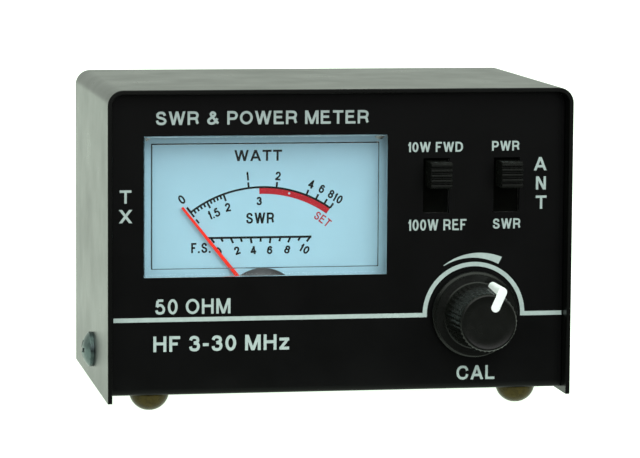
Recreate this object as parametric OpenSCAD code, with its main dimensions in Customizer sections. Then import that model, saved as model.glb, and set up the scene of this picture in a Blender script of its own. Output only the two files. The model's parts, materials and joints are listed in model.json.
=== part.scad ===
// Bench-top SWR and power meter: a sheet-metal case with a moving-coil meter, two slide switches,
// a calibration knob and, at the rear, two UHF sockets joined by a directional coupler board.
// Origin: on the ground under the middle of the box round the object. -Y is the front, +Z is up.

/* [Case] */
// Width over the cover
cover_w = 105; // [104:1:112]
// Height of the cover's side walls
cover_h = 69.5; // [69.5:0.5:75]
// Depth of the cover from front edge to rear edge
cover_d = 67; // [67:1:80]
// Thickness of the sheet metal
sheet = 1; // [0.8:0.1:1.2]
// Outer radius of the cover's two bends
cover_bend = 3.5; // [2.5:0.5:5]
// How far the front and rear panels sit inside the cover
panel_recess = 4; // [3:0.5:6]
// How far the cover's walls hang below the chassis floor
wall_drop = 1; // [0:0.5:2]
// Height of a cover screw above the bottom of the cover's wall
cover_screw_up = 7.8; // [7:0.2:10]
// Distance of a cover screw behind the cover's front edge
cover_screw_back = 31; // [28:1:36]
// Diameter of a cover screw's head
cover_screw_head_d = 8; // [7:0.5:9]
// Height of a cover screw's head
cover_screw_head_h = 2.5; // [2:0.1:3]

/* [Feet] */
// Height of a foot
foot_h = 3.9; // [3.5:0.1:5]
// Diameter of a foot where it meets the floor
foot_d = 9; // [8:0.5:10]
// Distance of a foot's middle from the cover's side
foot_inset_x = 10.4; // [9:0.2:14]
// Distance of a foot's middle from the cover's front or rear edge
foot_inset_y = 10; // [10:0.5:14]

/* [Meter] */
// Width of the meter's window
window_w = 54.8; // [50:0.2:56]
// Height of the meter's window
window_h = 31.5; // [28:0.5:32]
// Sideways place of the window's middle
window_x = -16.6; // [-17:0.1:-16]
// Height of the window's middle above the bottom of the cover's wall
window_up = 43.25; // [43:0.05:44]
// How far the window stands proud of the front panel
window_proud = 0.6; // [0.3:0.1:1.5]
// Thickness of the clear window
window_t = 1.6; // [1.2:0.1:2]
// Depth of the dial behind the front panel's face
dial_depth = 6; // [6:0.1:6.4]
// Height of the pointer's axis above the bottom of the cover's wall
pivot_up = 19.86; // [19.5:0.02:20]
// Length of the pointer from its axis to its tip
pointer_len = 29.2; // [27:0.1:29.5]
// Angle of the resting pointer, left of upright
pointer_rest = 38.7; // [36:0.1:39]
// Angle through which the pointer swings
pointer_travel = 74; // [70:1:76]

/* [Calibration knob] */
// Sideways place of the knob's axis
knob_x = 30.9; // [30:0.1:32]
// Height of the knob's axis above the bottom of the cover's wall
knob_up = 18.25; // [18:0.05:19]
// How far the knob's face stands in front of the panel
knob_reach = 15.5; // [14:0.5:18]
// Diameter of the knob's skirt
skirt_d = 19.5; // [18:0.5:21]
// Diameter of the knob's fluted cap at its face
cap_d = 13.2; // [12:0.2:14]
// Number of flutes round the cap
flute_count = 40; // [24:2:48]
// Angle of the knob's pointer, clockwise from upright
knob_rest = 24; // [-60:1:60]

/* [Slide switches] */
// Sideways place of the range switch
range_x = 22; // [21.6:0.1:22.2]
// Sideways place of the function switch
function_x = 38.15; // [37.8:0.05:38.6]
// Height of the slots' middle above the bottom of the cover's wall
slot_up = 47.35; // [47:0.05:48]
// Width of a slot in the panel
slot_w = 5.95; // [5.6:0.05:6.2]
// Height of a slot in the panel
slot_h = 12.4; // [12.2:0.1:12.6]
// Width of a switch's handle
handle_w = 4.8; // [4.4:0.1:5.2]
// Height of a switch's handle
handle_h = 5.85; // [5.5:0.05:6]
// How far a handle stands in front of the panel
handle_reach = 6; // [5:0.5:8]
// Travel of a handle from its upper to its lower place
slide_travel = 5.5; // [5:0.1:5.5]

/* [UHF sockets] */
// Distance of each socket from the middle of the rear panel
socket_x = 29; // [28:0.5:32]
// Height of the sockets above the bottom of the cover's wall
socket_up = 34.6; // [34:0.2:36]
// How far a socket stands behind the rear panel
socket_reach = 17; // [16:0.5:19]
// Diameter of a socket's 5/8 inch thread
thread_d = 15.875; // [15.8:0.025:15.9]
// Side of a socket's square flange
flange_w = 25.4; // [25:0.1:26]
// Spacing of a flange's four screws
flange_pitch = 18.26; // [18:0.02:18.5]
// Diameter of the hole in a socket's centre contact
contact_bore_d = 4; // [3.9:0.05:4.1]

/* [Hidden] */
$fn = 48;

// Running clearance between a shaft and its bore, measured on the diameter
run_fit = 0.08;
// Small gap between pieces that slide past each other
slide_gap = 0.15;
// How far the knob's index stands proud of its face
index_proud = 0.1;

// Levels
wall_z = foot_h - wall_drop;
floor_z = foot_h;
floor_top = floor_z + sheet;
top_z = wall_z + cover_h;

// Depths: the box round the object reaches from the knob's face to the sockets' rims
panel_gap = cover_d - 2 * panel_recess;
front_reach = knob_reach + index_proud;
panel_y = front_reach - (front_reach + panel_gap + socket_reach) / 2;
panel_in = panel_y + sheet;
rear_y = panel_y + panel_gap;
rear_in = rear_y - sheet;
cover_y = panel_y - panel_recess;

// The chassis fits inside the cover with a little room
chassis_w = cover_w - 2 * sheet - 0.2;
chassis_top = top_z - sheet - 0.2;
bend_in = 0.6;

// Meter, seen from its pivot
pivot_z = wall_z + pivot_up;
window_z = wall_z + window_up;
flange_t = 1.5;
wall_t = 1.8;
meter_half_w = window_w / 2 + 3;
meter_bottom = pivot_z - 13.2;
meter_top = window_z + window_h / 2 + 3.1;
housing_y = panel_in + flange_t;
meter_depth = 24;
housing_rear = panel_in + meter_depth;
housing_wall_y = housing_rear - 2;
dial_t = 0.5;
dial_y = panel_y + dial_depth;
dial_notch_r = 8.9;
pointer_t = 0.3;
pointer_y = dial_y - 0.8 - pointer_t;
dial_screw_x = window_w / 2 - 0.9;
dial_screw_z = meter_top - 3.4;

// Movement
core_y = dial_y + 2.7;
core_len = 8;
core_r = 4.2;
ring_r_in = 6.2;
ring_r_out = 10;
post_r = 8.1;
bridge_t = 1;
front_bridge_y = pointer_y - 1.9;
rear_bridge_y = core_y + core_len + 4.7;
coil_room = 0.5;
coil_t = 0.6;
coil_half = core_r + 0.5;
coil_depth = 2.6;
arbor_d = 1;
jewel_d = 2.5;
spring_r = 3.9;

// M3 hardware
m3_d = 3;
m3_head_d = 5.6;
m3_head_h = 1.9;
m3_nut_flats = 5.5;
m3_nut_h = 2.4;
m3_len = 8;
stud_x = 12;
stud_z = window_z + 4;
bracket_screw_x = 5;
bracket_foot = 10;
bracket_screw_y = housing_rear + 5.5;

// Potentiometer
knob_z = wall_z + knob_up;
bushing_d = 7;
bushing_len = 5;
shaft_d = 6;
washer_t = 0.5;
pot_nut_h = 2;
pot_plate_t = 1.2;
pot_d = 16.5;
wafer_y = panel_in + 4;
wafer_t = 1;
skirt_gap = 0.8;
cap_from = 3.4;
cap_to = knob_reach - 0.7;
cap_foot_r = cap_d / 2 + 0.7;
cap_taper = atan((cap_foot_r - cap_d / 2) / (cap_to - cap_from));
index_w = 2;
index_in = 3.65;
index_out = 7.5;
index_from = 5.5;

// Slide switches
slot_z = wall_z + slot_up;
switch_w = 12.5;
switch_h = 25;
switch_deep = 8;
frame_t = 0.6;
handle_z = slot_z + slide_travel / 2;
carriage_y = panel_in + frame_t + slide_gap;
carriage_t = 2.5;
carriage_h = switch_h - 2 * frame_t - slide_travel - 0.2;
base_y = panel_in + switch_deep - 1.6;
board_y = panel_in + switch_deep;
board_t = 1.6;
post_x = [range_x - 4.5, function_x + 7.35];
post_z = [slot_z - 15.2, slot_z + 15.2];

// Sockets and coupler
socket_z = wall_z + socket_up;
flange_t_uhf = 1.6;
mouth_d = 12.8;
mouth_depth = 8;
tail_d = 3.6;
coupler_y = rear_in - 8.2;
coupler_rear = coupler_y + board_t;
trimmer_x = 14;
trimmer_z = socket_z - 7.5;
trimmer_t = 4;
lead_d = 0.6;
wire_d = 1.3;
wire_bend = 2.5;

// ---- Shared shapes ----

// A flat outline in X and Z, extruded from y0 towards the rear
module along_y(y0, len) {
    translate([0, y0 + len, 0])
        rotate([90, 0, 0])
            linear_extrude(len)
                children();
}

// A flat outline in Y and Z, extruded along X about the middle
module along_x(len) {
    translate([-len / 2, 0, 0])
        rotate([90, 0, 90])
            linear_extrude(len)
                children();
}

// A round bar along Y
module rod_y(x, z, y0, len, d) {
    translate([x, y0, z])
        rotate([-90, 0, 0])
            cylinder(d = d, h = len);
}

// A ring along Y
module ring_y(x, z, y0, len, d_out, d_in) {
    difference() {
        rod_y(x, z, y0, len, d_out);
        rod_y(x, z, y0 - 1, len + 2, d_in);
    }
}

// A box between two corners
module box(low, high) {
    translate(low)
        cube(high - low);
}

// Rectangle about the origin with round corners
module round_rect(w, h, r) {
    square([w - 2 * r, h], center = true);
    square([w, h - 2 * r], center = true);
    for (sx = [-1, 1], sz = [-1, 1])
        translate([sx * (w / 2 - r), sz * (h / 2 - r)])
            circle(r);
}

// Outline with round upper corners, standing on z0
module arch(w, z0, z1, r) {
    translate([-w / 2, z0])
        square([w, z1 - z0 - r]);
    translate([-w / 2 + r, z0])
        square([w - 2 * r, z1 - z0]);
    for (s = [-1, 1])
        translate([s * (w / 2 - r), z1 - r])
            circle(r);
}

// Outline with round lower corners, hanging from z1
module trough(y0, y1, z0, z1, r) {
    translate([y0, z0 + r])
        square([y1 - y0, z1 - z0 - r]);
    translate([y0 + r, z0])
        square([y1 - y0 - 2 * r, z1 - z0]);
    for (y = [y0 + r, y1 - r])
        translate([y, z0 + r])
            circle(r);
}

// Half outline of a pan head, turned round the screw's axis
module pan_profile(d, h, rim) {
    dome = h - rim;
    ball = (pow(d / 2, 2) + pow(dome, 2)) / (2 * dome);
    square([d / 2, rim]);
    intersection() {
        translate([0, rim - ball + dome])
            circle(ball, $fn = 96);
        square([d / 2, h]);
    }
}

// Pan-head screw with a cross recess; its head stands on z = 0 and its shank points down
module pan_screw(head_d, head_h, d, len) {
    difference() {
        rotate_extrude()
            pan_profile(head_d, head_h, head_h * 0.35);
        for (a = [0, 90])
            rotate([0, 0, a])
                translate([-head_d * 0.26, -head_d * 0.06, head_h * 0.45])
                    cube([head_d * 0.52, head_d * 0.12, head_h]);
    }
    translate([0, 0, -len])
        cylinder(d = d, h = len);
}

// Hexagon nut standing on z = 0
module hex_nut(flats, h, d) {
    difference() {
        cylinder(d = flats / cos(30), h = h, $fn = 6);
        translate([0, 0, -1])
            cylinder(d = d, h = h + 2);
    }
}

// Round wire through a list of points, with every corner bent to one radius
function unit(v) = v / norm(v);
function run(p, i) = unit(p[i + 1] - p[i]);
function turn(p, i) = acos(run(p, i - 1) * run(p, i));
function trim(p, i, bend) = i == 0 || i == len(p) - 1 ? 0 : bend * tan(turn(p, i) / 2);

module bar(from, to, d) {
    v = to - from;
    translate(from)
        rotate([0, acos(v[2] / norm(v)), atan2(v[1], v[0])])
            cylinder(d = d, h = norm(v), $fn = 24);
}

module bent_wire(p, d, bend) {
    for (i = [0 : len(p) - 2])
        bar(p[i] + run(p, i) * trim(p, i, bend), p[i + 1] - run(p, i) * trim(p, i + 1, bend), d);
    for (i = [1 : len(p) - 2]) {
        a = run(p, i - 1);
        n = unit(cross(a, run(p, i)));
        x = cross(a, n);
        c = p[i] - a * trim(p, i, bend) - x * bend;
        multmatrix([[x[0], a[0], n[0], c[0]], [x[1], a[1], n[1], c[1]], [x[2], a[2], n[2], c[2]]])
            rotate_extrude(angle = turn(p, i), $fn = 48)
                translate([bend, 0])
                    circle(d = d, $fn = 24);
    }
}

// ---- Case ----

module cover() {
    color("#1c1e1c")
        difference() {
            along_y(cover_y, cover_d)
                difference() {
                    arch(cover_w, wall_z, top_z, cover_bend);
                    arch(cover_w - 2 * sheet, wall_z - 1, top_z - sheet, cover_bend - sheet);
                }
            translate([-cover_w, cover_y + cover_screw_back, wall_z + cover_screw_up])
                rotate([0, 90, 0])
                    cylinder(d = 4.4, h = 2 * cover_w);
        }
}

module side_tab() {
    tab_y = cover_y + cover_screw_back;
    tab_x = cover_w / 2 - sheet;
    box([tab_x - sheet, tab_y - 7, floor_z + 0.2], [tab_x, tab_y + 7, floor_z + 14]);
}

module panel_holes() {
    translate([window_x, 0])
        translate([0, window_z])
            square([window_w, window_h], center = true);
    for (x = [range_x, function_x])
        translate([x, slot_z])
            square([slot_w, slot_h], center = true);
    translate([knob_x, knob_z])
        circle(d = bushing_d + 0.2);
}

module chassis() {
    color("#17181a")
        difference() {
            union() {
                intersection() {
                    along_x(chassis_w)
                        difference() {
                            trough(panel_y, rear_y, floor_z, chassis_top, sheet + bend_in);
                            trough(panel_in, rear_in, floor_top, chassis_top + 1, bend_in);
                        }
                    along_y(panel_y - 1, panel_gap + 2)
                        arch(chassis_w, floor_z - 1, chassis_top, cover_bend - sheet);
                }
                side_tab();
                mirror([1, 0, 0])
                    side_tab();
            }
            along_y(panel_y - 1, sheet + 2)
                panel_holes();
            translate([-cover_w, cover_y + cover_screw_back, wall_z + cover_screw_up])
                rotate([0, 90, 0])
                    cylinder(d = 4, h = 2 * cover_w);
            for (s = [-1, 1]) {
                rod_y(s * socket_x, socket_z, rear_in - 1, sheet + 2, 12);
                for (dx = [-1, 1], dz = [-1, 1])
                    rod_y(s * socket_x + dx * flange_pitch / 2, socket_z + dz * flange_pitch / 2,
                        rear_in - 1, sheet + 2, m3_d + 0.2);
                for (y = [cover_y + foot_inset_y, cover_y + cover_d - foot_inset_y])
                    translate([s * (cover_w / 2 - foot_inset_x), y, floor_z - 1])
                        cylinder(d = 3.8, h = sheet + 2);
                translate([window_x + s * bracket_screw_x, bracket_screw_y, floor_z - 1])
                    cylinder(d = m3_d + 0.2, h = sheet + 2);
            }
        }
}

module cover_screws() {
    color("#2a2a2c")
        for (s = [-1, 1])
            translate([s * cover_w / 2, cover_y + cover_screw_back, wall_z + cover_screw_up])
                rotate([0, s * 90, 0])
                    pan_screw(cover_screw_head_d, cover_screw_head_h, 4, 7);
}

// A dome with a small flat to stand on, and a stem that snaps through the floor
module foot() {
    flat_r = 1.2;
    mid = (pow(foot_d / 2, 2) - pow(flat_r, 2) + pow(foot_h, 2)) / (2 * foot_h);
    rotate_extrude() {
        intersection() {
            translate([0, mid])
                circle(sqrt(pow(mid, 2) + pow(flat_r, 2)), $fn = 96);
            square([foot_d / 2, foot_h]);
        }
        square([1.9, foot_h + sheet]);
        translate([0, foot_h + sheet])
            square([2.4, 1.2]);
    }
}

module feet() {
    color("#8f8448")
        for (s = [-1, 1], y = [cover_y + foot_inset_y, cover_y + cover_d - foot_inset_y])
            translate([s * (cover_w / 2 - foot_inset_x), y, 0])
                foot();
}

module m3_screws() {
    color("silver") {
        for (s = [-1, 1], dx = [-1, 1], dz = [-1, 1])
            translate([s * socket_x + dx * flange_pitch / 2, rear_y + flange_t_uhf,
                    socket_z + dz * flange_pitch / 2])
                rotate([-90, 0, 0])
                    pan_screw(m3_head_d, m3_head_h, m3_d, m3_len);
        for (s = [-1, 1])
            translate([window_x + s * bracket_screw_x, bracket_screw_y, floor_z])
                rotate([180, 0, 0])
                    pan_screw(m3_head_d, m3_head_h, m3_d, m3_len);
    }
}

module m3_nuts() {
    color("silver") {
        for (s = [-1, 1], dx = [-1, 1], dz = [-1, 1])
            translate([s * socket_x + dx * flange_pitch / 2, rear_in,
                    socket_z + dz * flange_pitch / 2])
                rotate([90, 0, 0])
                    hex_nut(m3_nut_flats, m3_nut_h, m3_d);
        for (s = [-1, 1]) {
            translate([window_x + s * bracket_screw_x, bracket_screw_y, floor_top + sheet])
                hex_nut(m3_nut_flats, m3_nut_h, m3_d);
            translate([window_x + s * stud_x, housing_rear + 0.8, stud_z])
                rotate([-90, 0, 0])
                    hex_nut(m3_nut_flats, m3_nut_h, m3_d);
        }
    }
}

// ---- Meter ----

module window_outline(inset) {
    translate([window_x, window_z])
        square([window_w - 2 * inset, window_h - 2 * inset], center = true);
}

module meter_outline(inset) {
    translate([window_x - meter_half_w + inset, meter_bottom + inset])
        square([2 * (meter_half_w - inset), meter_top - meter_bottom - 2 * inset]);
}

module meter_window() {
    front = panel_y - window_proud;
    color("#dfeef5", 0.35) {
        along_y(front, window_t)
            window_outline(0.1);
        along_y(front + window_t, housing_y - front - window_t)
            difference() {
                window_outline(0.1);
                window_outline(1.8);
            }
        along_y(panel_in, flange_t)
            difference() {
                meter_outline(0);
                window_outline(0.1);
            }
    }
}

module meter_housing() {
    color("#202224")
        difference() {
            union() {
                difference() {
                    along_y(housing_y, housing_rear - housing_y)
                        meter_outline(0);
                    along_y(housing_y - 1, housing_wall_y - housing_y + 1)
                        meter_outline(wall_t);
                }
                for (s = [-1, 1]) {
                    box([window_x + s * dial_screw_x - 2.05, dial_y + dial_t, dial_screw_z - 1.7],
                        [window_x + s * dial_screw_x + 2.05, housing_wall_y + 1, meter_top - 1]);
                    rod_y(window_x, pivot_z + s * post_r, core_y + core_len,
                        housing_wall_y - core_y - core_len + 1, 3.6);
                }
            }
            for (s = [-1, 1]) {
                rod_y(window_x + s * stud_x, stud_z, housing_wall_y - 1, 4, m3_d);
                rod_y(window_x + s * dial_screw_x, dial_screw_z, dial_y, 5, 1.6);
            }
        }
}

module dial_plate() {
    bottom = window_z - window_h / 2 - 1.4;
    color("#cfe6f0")
        difference() {
            along_y(dial_y, dial_t)
                translate([window_x - meter_half_w + wall_t + 0.2, bottom])
                    square([2 * (meter_half_w - wall_t - 0.2), meter_top - wall_t - 0.2 - bottom]);
            rod_y(window_x, pivot_z, dial_y - 1, 3, 2 * dial_notch_r);
            for (s = [-1, 1])
                rod_y(window_x + s * dial_screw_x, dial_screw_z, dial_y - 1, 3, 1.6);
        }
}

module dial_screws() {
    color("#b9bcc0")
        for (s = [-1, 1])
            translate([window_x + s * dial_screw_x, dial_y, dial_screw_z])
                rotate([90, 0, 0])
                    pan_screw(2.4, 0.8, 1.6, 4.5);
}

// Everything that swings with the pointer is drawn upright, then turned to its rest angle
module swung() {
    translate([window_x, 0, pivot_z])
        rotate([0, -pointer_rest, 0])
            children();
}

module pointer() {
    color("#d8402a")
        swung() {
            difference() {
                union() {
                    along_y(pointer_y, pointer_t)
                        polygon([[-0.5, -7], [0.5, -7], [0.45, 6], [0.27, pointer_len],
                            [-0.27, pointer_len], [-0.45, 6]]);
                    rod_y(0, 0, pointer_y - 0.2, 0.8, 3);
                }
                rod_y(0, 0, pointer_y - 2, 5, arbor_d);
            }
        }
}

module balance_weight() {
    color("goldenrod")
        swung()
            difference() {
                box([-1.3, pointer_y - 0.5, -6.4], [1.3, pointer_y + pointer_t + 0.4, -5]);
                box([-0.6, pointer_y, -7.6], [0.6, pointer_y + pointer_t, -3.8]);
            }
}

module moving_coil() {
    color("#a85a2c")
        swung()
            rotate([0, pointer_rest - pointer_travel / 2, 0])
                difference() {
                    box([-coil_half - 0.9, core_y - coil_room - coil_t, -coil_depth / 2],
                        [coil_half + 0.9, core_y + core_len + coil_room + coil_t, coil_depth / 2]);
                    box([-coil_half, core_y - coil_room, -coil_depth],
                        [coil_half, core_y + core_len + coil_room, coil_depth]);
                }
}

module arbor() {
    front = front_bridge_y + bridge_t + 0.45;
    coil_front = core_y - coil_room - coil_t;
    coil_rear = core_y + core_len + coil_room + coil_t;
    color("#8c8f94") {
        rod_y(window_x, pivot_z, front, coil_front - front, arbor_d);
        rod_y(window_x, pivot_z, coil_rear, rear_bridge_y - 0.45 - coil_rear, arbor_d);
    }
}

// Flat spiral made of half circles about two centres, from r_in to r_out
module spiral(r_in, r_out, turns, w, h) {
    step = (r_out - r_in) / (2 * turns);
    for (i = [0 : 2 * turns - 1])
        translate([i % 2 == 0 ? 0 : step, 0, 0])
            rotate([0, 0, i * 180])
                rotate_extrude(angle = 180)
                    translate([r_in + step * i, 0])
                        square([w, h]);
}

module hairsprings() {
    color("#b08d57")
        for (y = [dial_y - 0.1, rear_bridge_y - 2.4])
            translate([window_x, y, pivot_z])
                rotate([-90, 0, 0]) {
                    spiral(1, spring_r - 0.4, 3, 0.15, 0.4);
                    box([arbor_d / 2, -0.15, 0], [1.15, 0.15, 0.4]);
                }
}

module core_magnet() {
    color("#6d7175")
        rod_y(window_x, pivot_z, core_y, core_len, 2 * core_r);
}

module core_spacers() {
    color("goldenrod")
        difference() {
            for (s = [-1, 1])
                box([window_x - 1.2, core_y, pivot_z + s * 5.3 - 1.3],
                    [window_x + 1.2, core_y + core_len, pivot_z + s * 5.3 + 1.3]);
            rod_y(window_x, pivot_z, core_y - 1, core_len + 2, 2 * core_r);
            ring_y(window_x, pivot_z, core_y - 1, core_len + 2, 4 * ring_r_in, 2 * ring_r_in);
        }
}

module yoke_ring() {
    color("#585c60")
        ring_y(window_x, pivot_z, core_y, core_len, 2 * ring_r_out, 2 * ring_r_in);
}

module bridge_posts() {
    front = front_bridge_y + bridge_t;
    rear = core_y + core_len;
    color("goldenrod")
        for (s = [-1, 1]) {
            rod_y(window_x + s * post_r, pivot_z, front, core_y - front, 3);
            rod_y(window_x + s * post_r, pivot_z, rear, rear_bridge_y - rear, 3);
        }
}

module movement_bridges() {
    color("#c9b36a") {
        for (y = [front_bridge_y, rear_bridge_y])
            difference() {
                along_y(y, bridge_t)
                    translate([window_x, pivot_z])
                        round_rect(20, 5, 1.5);
                rod_y(window_x, pivot_z, y - 1, bridge_t + 2, jewel_d);
            }
        box([window_x + spring_r - 0.25, rear_bridge_y - 2.4, pivot_z - 0.5],
            [window_x + spring_r + 0.4, rear_bridge_y, pivot_z + 0.5]);
    }
}

module jewel_screws() {
    color("goldenrod") {
        difference() {
            rod_y(window_x, pivot_z, front_bridge_y - 0.3, bridge_t + 0.7, jewel_d);
            rod_y(window_x, pivot_z, front_bridge_y + bridge_t + 0.2, 1, 0.5);
            box([window_x - 2, front_bridge_y - 1, pivot_z - 0.2],
                [window_x + 2, front_bridge_y, pivot_z + 0.2]);
        }
        difference() {
            rod_y(window_x, pivot_z, rear_bridge_y - 0.4, bridge_t + 0.8, jewel_d);
            rod_y(window_x, pivot_z, rear_bridge_y - 1.2, 1, 0.5);
        }
    }
}

module zero_regulator() {
    plate_y = front_bridge_y + bridge_t;
    color("#c9b36a") {
        difference() {
            union() {
                rod_y(window_x, pivot_z, plate_y, 0.3, 5);
                box([window_x, plate_y, pivot_z - 0.6], [window_x + spring_r + 0.4, plate_y + 0.3,
                    pivot_z + 0.6]);
            }
            rod_y(window_x, pivot_z, plate_y - 1, 3, jewel_d);
        }
        box([window_x + spring_r - 0.25, plate_y, pivot_z - 0.6],
            [window_x + spring_r + 0.4, dial_y + 0.3, pivot_z + 0.6]);
    }
}

module meter_studs() {
    color("goldenrod")
        for (s = [-1, 1]) {
            rod_y(window_x + s * stud_x, stud_z, housing_wall_y, 9, m3_d);
            rod_y(window_x + s * stud_x, stud_z, housing_wall_y - 1.5, 1.5, 5);
        }
}

module meter_bracket() {
    color("#a9adb0")
        difference() {
            union() {
                box([window_x - 9, housing_rear, floor_top],
                    [window_x + 9, housing_rear + sheet, pivot_z + 3]);
                box([window_x - 9, housing_rear, floor_top],
                    [window_x + 9, housing_rear + bracket_foot, floor_top + sheet]);
            }
            for (s = [-1, 1])
                translate([window_x + s * bracket_screw_x, bracket_screw_y, floor_z])
                    cylinder(d = m3_d + 0.2, h = 5);
        }
}

// Ring tag with a tail that points down
module lug(x, y, z, tail) {
    difference() {
        union() {
            rod_y(x, z, y, 0.8, 6);
            box([x - 1.2, y, z - tail], [x + 1.2, y + 0.8, z]);
        }
        rod_y(x, z, y - 1, 3, m3_d);
    }
}

module solder_lugs() {
    color("#c8ccd0") {
        for (s = [-1, 1])
            lug(window_x + s * stud_x, housing_rear, stud_z, 9);
        for (s = [-1, 1])
            lug(s * (socket_x - flange_pitch / 2), rear_in - m3_nut_h - 0.8,
                socket_z - flange_pitch / 2, 7);
    }
}

// ---- Calibration control ----

// Everything that turns with the knob is drawn upright, then turned to its rest angle
module dialled() {
    translate([knob_x, panel_y, knob_z])
        rotate([0, knob_rest, 0])
            rotate([90, 0, 0])
                children();
}

// A bar with round ends, cut off at a depth and drawn up past the knob's face
module round_bar(inner, from, grow) {
    tall = knob_reach + index_proud + grow - from;
    translate([-index_w / 2, inner, from])
        cube([index_w, index_out - inner, tall]);
    translate([0, index_out, from])
        cylinder(d = index_w, h = tall);
}

// The index crosses the cap's face and runs on down its side as a rib
module index(grow) {
    face_from = knob_reach - 0.9;
    round_bar(index_in, face_from, grow);
    translate([0, index_in, face_from])
        cylinder(d = index_w, h = 0.9 + index_proud + grow);
    round_bar(cap_d / 2 - 1, index_from, grow);
}

module knob() {
    nut_room = 3.2;
    color("#141516")
        dialled()
            difference() {
                rotate_extrude($fn = 96)
                    polygon([[0, skirt_gap], [skirt_d / 2, skirt_gap], [skirt_d / 2, 1.7],
                        [cap_foot_r, cap_from], [cap_d / 2, cap_to],
                        [cap_d / 2 - 0.5, knob_reach], [0, knob_reach]]);
                cylinder(d = 14, h = nut_room);
                cylinder(d = bushing_d + 0.8, h = bushing_len + 0.2);
                cylinder(d = shaft_d, h = knob_reach - 2.5);
                for (i = [1 : flute_count - 2])
                    rotate([0, 0, 90 + (i + 0.5) * 360 / flute_count])
                        translate([cap_foot_r + 0.2, 0, cap_from + 0.45])
                            rotate([0, -cap_taper, 0])
                                cylinder(d = 0.8, h = knob_reach, $fn = 24);
                index(1);
            }
}

module knob_pointer() {
    color("#f2f2ee")
        dialled()
            index(0);
}

module pot_shaft() {
    rotor_from = sheet + pot_plate_t + slide_gap;
    color("#b9bcc0")
        dialled() {
            translate([0, 0, -rotor_from])
                cylinder(d = shaft_d, h = rotor_from + knob_reach - 2.5);
            translate([0, 0, -rotor_from - 1])
                cylinder(d = 12, h = 1);
        }
}

module pot_bushing() {
    color("#c4c7cb")
        difference() {
            union() {
                rod_y(knob_x, knob_z, panel_in, pot_plate_t, pot_d);
                rod_y(knob_x, knob_z, panel_y - bushing_len + 0.5, bushing_len + 0.5, bushing_d);
            }
            rod_y(knob_x, knob_z, panel_y - 10, 20, shaft_d + run_fit);
        }
}

module pot_case() {
    case_y = panel_in + pot_plate_t;
    case_len = 6.5;
    color("#c4c7cb")
        difference() {
            rod_y(knob_x, knob_z, case_y, case_len, pot_d);
            rod_y(knob_x, knob_z, case_y - 1, case_len + 0.5, pot_d - 1);
            box([knob_x - 7, wafer_y - 0.6, knob_z - pot_d],
                [knob_x + 7, wafer_y + wafer_t + 0.8, knob_z - 5]);
        }
}

module pot_wafer() {
    color("#6b4a2b")
        union() {
            ring_y(knob_x, knob_z, wafer_y, wafer_t, pot_d - 1, 4);
            difference() {
                box([knob_x - 6.5, wafer_y, knob_z - pot_d / 2 - 1],
                    [knob_x + 6.5, wafer_y + wafer_t, knob_z - 5]);
                rod_y(knob_x, knob_z, wafer_y - 1, 3, 4);
            }
        }
}

module pot_wiper() {
    rotor_rear = sheet + pot_plate_t + slide_gap + 1;
    reach = panel_y + rotor_rear;
    color("#b87333")
        dialled() {
            translate([0, 0, -rotor_rear - 0.3])
                difference() {
                    cylinder(d = 9, h = 0.3);
                    translate([0, 0, -1])
                        cylinder(d = 3, h = 3);
                }
            translate([-0.8, 4, panel_y - wafer_y + 0.03])
                cube([1.6, 2.4, wafer_y - 0.03 - reach]);
        }
}

module pot_terminals() {
    color("#d0d3d6")
        for (dx = [-5, 0, 5])
            difference() {
                box([knob_x + dx - 0.9, wafer_y + wafer_t, knob_z - 15],
                    [knob_x + dx + 0.9, wafer_y + wafer_t + 0.4, knob_z - 6]);
                rod_y(knob_x + dx, knob_z - 13.5, wafer_y, 3, 0.9);
            }
}

module pot_nut() {
    color("#c4c7cb")
        translate([knob_x, panel_y - washer_t, knob_z])
            rotate([90, 0, 0])
                hex_nut(10, pot_nut_h, bushing_d);
}

module pot_washer() {
    color("#c4c7cb")
        ring_y(knob_x, knob_z, panel_y - washer_t, washer_t, 12, bushing_d);
}

// ---- Slide switches ----

module switch_frame(x) {
    color("#b9bdc0")
        difference() {
            along_y(panel_in, base_y - panel_in)
                translate([x, slot_z])
                    square([switch_w, switch_h], center = true);
            along_y(panel_in + frame_t, switch_deep)
                translate([x, slot_z])
                    square([switch_w - 2 * frame_t, switch_h - 2 * frame_t], center = true);
            along_y(panel_in - 1, 3)
                translate([x, slot_z])
                    square([slot_w, slot_h], center = true);
        }
}

// Ribbed handle on a carriage that runs inside the frame
module switch_slider(x) {
    rib_count = 5;
    rib_pitch = handle_h / rib_count;
    rib_h = 0.7;
    face = panel_y - handle_reach;
    color("#121314") {
        box([x - handle_w / 2, face + rib_h, handle_z - handle_h / 2],
            [x + handle_w / 2, carriage_y + 0.1, handle_z + handle_h / 2]);
        for (i = [0 : rib_count - 1]) {
            z = handle_z + (i - (rib_count - 1) / 2) * rib_pitch;
            translate([x + handle_w / 2, face + rib_h, z])
                rotate([90, 0, -90])
                    linear_extrude(handle_w)
                        polygon([[-0.01, -rib_pitch * 0.42], [rib_h, -rib_pitch * 0.2],
                            [rib_h, rib_pitch * 0.2], [-0.01, rib_pitch * 0.42]]);
        }
        box([x - 5, carriage_y, handle_z - carriage_h / 2],
            [x + 5, carriage_y + carriage_t, handle_z + carriage_h / 2]);
    }
}

module slider_contacts(x) {
    color("#b87333")
        for (s = [-1, 1])
            box([x + s * 2.8 - 0.8, carriage_y + carriage_t, handle_z - 2.6],
                [x + s * 2.8 + 0.8, base_y - 0.35, handle_z + 2.6]);
}

module range_frame() {
    switch_frame(range_x);
}

module range_slider() {
    switch_slider(range_x);
}

module range_contacts() {
    slider_contacts(range_x);
}

module function_frame() {
    switch_frame(function_x);
}

module function_slider() {
    switch_slider(function_x);
}

module function_contacts() {
    slider_contacts(function_x);
}

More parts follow.
